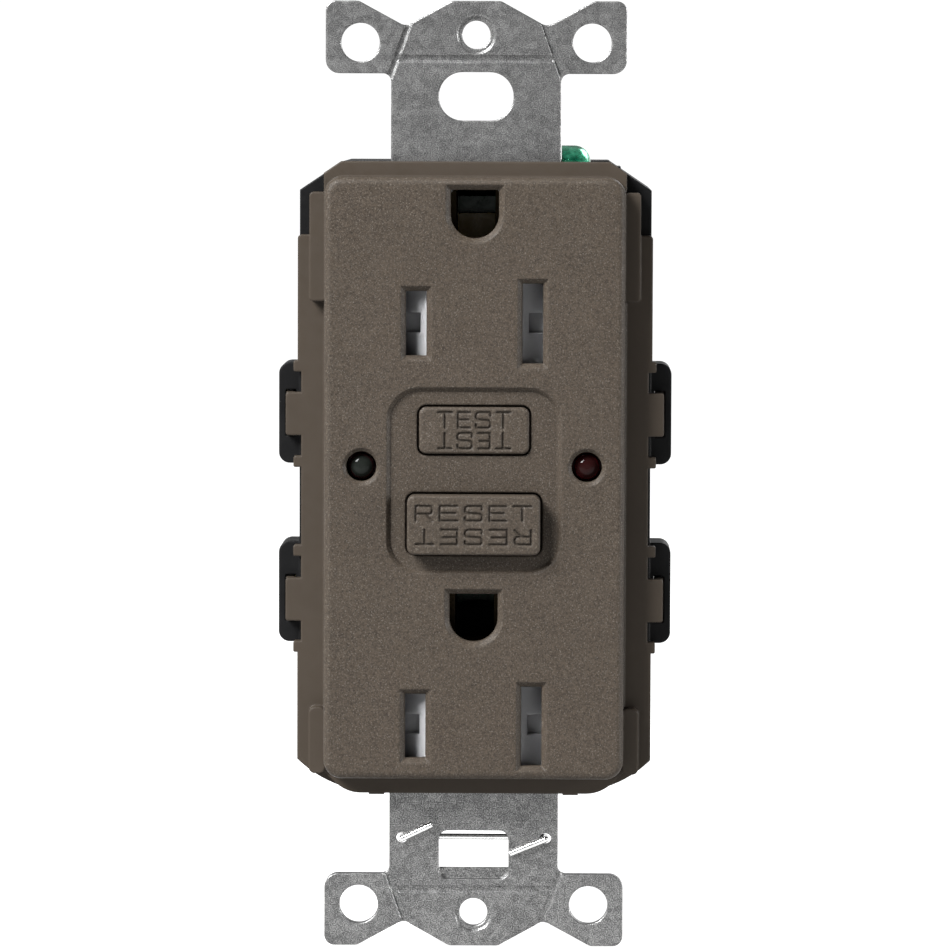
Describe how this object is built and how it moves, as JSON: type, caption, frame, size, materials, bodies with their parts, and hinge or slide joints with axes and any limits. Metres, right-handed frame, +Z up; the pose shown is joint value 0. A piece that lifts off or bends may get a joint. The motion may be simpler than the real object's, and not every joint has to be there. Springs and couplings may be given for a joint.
{
  "type": "gfci outlet",
  "caption": "Duplex ground-fault receptacle with test and reset buttons, tamper shutters, indicator lights and a steel mounting strap.",
  "frame": {"origin": "centre of the two wall-plate screw holes, on the rear plane of the mounting strap", "axes": "+Z up along the strap, +X to the right of the face, +Y into the wall"},
  "size_m": [0.0432, 0.0362, 0.1042],
  "materials": {
    "strap_steel": "galvanised satin",
    "spring_steel": "bright",
    "contact_brass": "satin",
    "screw_brass": "satin",
    "terminal_silver": "nickel plated",
    "contact_silver": "bright",
    "ground_green": "dyed gloss",
    "cover_plastic": "fine sparkle grain",
    "button_plastic": "fine sparkle grain",
    "black_plastic": "moulded satin",
    "frame_plastic": "moulded",
    "shutter_plastic": "moulded",
    "dark_lens": "clear gloss",
    "red_lens": "clear gloss",
    "coil_copper": "enamelled",
    "board_green": "solder mask",
    "varistor_blue": "epoxy",
    "capacitor_yellow": "film box",
    "resistor_tan": "lacquer",
    "core_grey": "ferrite"
  },
  "bodies": {
    "device": {"mounting_strap": "strap_steel", "ground_clip_wire": "spring_steel", "ground_contacts": "contact_brass", "ground_contact_rivets": "contact_brass", "front_cover": "cover_plastic", "test_spring": "spring_steel", "test_blade": "contact_brass", "reset_spring": "spring_steel", "shutter_tray_upper": "black_plastic", "shutter_tray_lower": "black_plastic", "shutter_spring_upper": "spring_steel", "shutter_spring_lower": "spring_steel", "status_led": "dark_lens", "fault_led": "red_lens", "led_leads": "spring_steel", "rear_casing": "black_plastic", "mid_frame": "frame_plastic", "case_screws": "spring_steel", "hot_bus": "contact_brass", "neutral_bus": "contact_brass", "hot_line_terminal": "contact_brass", "neutral_line_terminal": "terminal_silver", "fixed_contacts": "contact_silver", "breaker_springs": "spring_steel", "coil_bobbin": "frame_plastic", "coil_winding": "coil_copper", "coil_frame": "strap_steel", "plunger_spring": "spring_steel", "circuit_board": "board_green", "varistor": "varistor_blue", "filter_capacitor": "capacitor_yellow", "board_semiconductors": "black_plastic", "board_resistors": "resistor_tan", "transformer_case": "black_plastic", "sense_cores": "core_grey", "line_conductors": "coil_copper"},
    "ground_screw": {"ground_screw": "ground_green"},
    "test_button": {"test_button": "button_plastic"},
    "reset_button": {"reset_button": "button_plastic", "reset_pin": "spring_steel"},
    "carriage": {"latch_carriage": "frame_plastic"},
    "latch": {"latch_plate": "strap_steel"},
    "plunger": {"coil_plunger": "spring_steel"},
    "hot_arm": {"hot_contact_arm": "contact_brass", "hot_moving_contact": "contact_silver"},
    "hot_line_screw": {"hot_line_screw": "screw_brass"},
    "hot_line_clamp": {"hot_line_clamp": "spring_steel"},
    "hot_load_screw": {"hot_load_screw": "screw_brass"},
    "hot_load_clamp": {"hot_load_clamp": "spring_steel"},
    "hot_shutter_upper": {"hot_shutter_upper": "shutter_plastic"},
    "hot_shutter_lower": {"hot_shutter_lower": "shutter_plastic"},
    "neutral_arm": {"neutral_contact_arm": "contact_brass", "neutral_moving_contact": "contact_silver"},
    "neutral_line_screw": {"neutral_line_screw": "terminal_silver"},
    "neutral_line_clamp": {"neutral_line_clamp": "spring_steel"},
    "neutral_load_screw": {"neutral_load_screw": "terminal_silver"},
    "neutral_load_clamp": {"neutral_load_clamp": "spring_steel"},
    "neutral_shutter_upper": {"neutral_shutter_upper": "shutter_plastic"},
    "neutral_shutter_lower": {"neutral_shutter_lower": "shutter_plastic"}
  },
  "joints": [
    {"name": "test_press", "type": "slide", "parent": "device", "child": "test_button", "axis": [0, 1, 0], "range_m": [0, 0.0012], "stiffness_N_per_m": 900, "springref_m": -0.0006, "deforming": ["test_spring"]},
    {"name": "reset_press", "type": "slide", "parent": "device", "child": "reset_button", "axis": [0, 1, 0], "range_m": [0, 0.0026], "stiffness_N_per_m": 900, "springref_m": -0.0006, "deforming": ["reset_spring"]},
    {"name": "hot_shutter_slide_upper", "type": "slide", "parent": "device", "child": "hot_shutter_upper", "axis": [1, 0, 0], "range_m": [0, 0.0028], "stiffness_N_per_m": 120, "springref_m": -0.0006, "deforming": ["shutter_spring_upper"]},
    {"name": "neutral_shutter_slide_upper", "type": "slide", "parent": "device", "child": "neutral_shutter_upper", "axis": [-1, 0, 0], "range_m": [0, 0.0028], "stiffness_N_per_m": 120, "springref_m": -0.0006, "deforming": ["shutter_spring_upper"]},
    {"name": "hot_shutter_slide_lower", "type": "slide", "parent": "device", "child": "hot_shutter_lower", "axis": [1, 0, 0], "range_m": [0, 0.0028], "stiffness_N_per_m": 120, "springref_m": -0.0006, "deforming": ["shutter_spring_lower"]},
    {"name": "neutral_shutter_slide_lower", "type": "slide", "parent": "device", "child": "neutral_shutter_lower", "axis": [-1, 0, 0], "range_m": [0, 0.0028], "stiffness_N_per_m": 120, "springref_m": -0.0006, "deforming": ["shutter_spring_lower"]},
    {"name": "carriage_lift", "type": "slide", "parent": "device", "child": "carriage", "axis": [0, -1, 0], "range_m": [0, 0.00075], "stiffness_N_per_m": 800, "springref_m": -0.0005, "deforming": ["breaker_springs"]},
    {"name": "hot_arm_flex", "type": "hinge", "parent": "device", "child": "hot_arm", "pos_m": [0, 0.00825, -0.0166], "axis": [1, 0, 0], "range_deg": [0, 2.8]},
    {"name": "neutral_arm_flex", "type": "hinge", "parent": "device", "child": "neutral_arm", "pos_m": [0, 0.00825, -0.0166], "axis": [1, 0, 0], "range_deg": [0, 2.8]},
    {"name": "plunger_push", "type": "slide", "parent": "device", "child": "plunger", "axis": [0, 0, -1], "range_m": [0, 0.0006], "stiffness_N_per_m": 300, "springref_m": -0.0005, "deforming": ["plunger_spring"]},
    {"name": "latch_slide", "type": "slide", "parent": "carriage", "child": "latch", "axis": [0, 0, -1], "range_m": [0, 0.0006]},
    {"name": "hot_line_screw_turn", "type": "hinge", "parent": "device", "child": "hot_line_screw", "pos_m": [0, 0.0135, -0.0129], "axis": [1, 0, 0], "range_deg": [0, 1080]},
    {"name": "hot_line_clamp_slide", "type": "slide", "parent": "device", "child": "hot_line_clamp", "axis": [-1, 0, 0], "range_m": [0, 0.0024]},
    {"name": "hot_load_screw_turn", "type": "hinge", "parent": "device", "child": "hot_load_screw", "pos_m": [0, 0.0135, 0.0068], "axis": [1, 0, 0], "range_deg": [0, 1080]},
    {"name": "hot_load_clamp_slide", "type": "slide", "parent": "device", "child": "hot_load_clamp", "axis": [-1, 0, 0], "range_m": [0, 0.0024]},
    {"name": "neutral_line_screw_turn", "type": "hinge", "parent": "device", "child": "neutral_line_screw", "pos_m": [0, 0.0135, -0.0129], "axis": [-1, 0, 0], "range_deg": [0, 1080]},
    {"name": "neutral_line_clamp_slide", "type": "slide", "parent": "device", "child": "neutral_line_clamp", "axis": [1, 0, 0], "range_m": [0, 0.0024]},
    {"name": "neutral_load_screw_turn", "type": "hinge", "parent": "device", "child": "neutral_load_screw", "pos_m": [0, 0.0135, 0.0068], "axis": [-1, 0, 0], "range_deg": [0, 1080]},
    {"name": "neutral_load_clamp_slide", "type": "slide", "parent": "device", "child": "neutral_load_clamp", "axis": [1, 0, 0], "range_m": [0, 0.0024]},
    {"name": "ground_screw_turn", "type": "hinge", "parent": "device", "child": "ground_screw", "pos_m": [0, 0.005, 0.0323], "axis": [1, 0, 0], "range_deg": [0, 1080]}
  ],
  "couplings": [
    {"joint": "hot_arm_flex", "follows": "carriage_lift", "rad_per_m": 64.103},
    {"joint": "hot_line_clamp_slide", "follows": "hot_line_screw_turn", "m_per_rad": 0.00012633},
    {"joint": "hot_load_clamp_slide", "follows": "hot_load_screw_turn", "m_per_rad": 0.00012633},
    {"joint": "neutral_arm_flex", "follows": "carriage_lift", "rad_per_m": 64.103},
    {"joint": "neutral_line_clamp_slide", "follows": "neutral_line_screw_turn", "m_per_rad": 0.00012633},
    {"joint": "neutral_load_clamp_slide", "follows": "neutral_load_screw_turn", "m_per_rad": 0.00012633},
    {"joint": "latch_slide", "follows": "plunger_push", "ratio": 1}
  ]
}
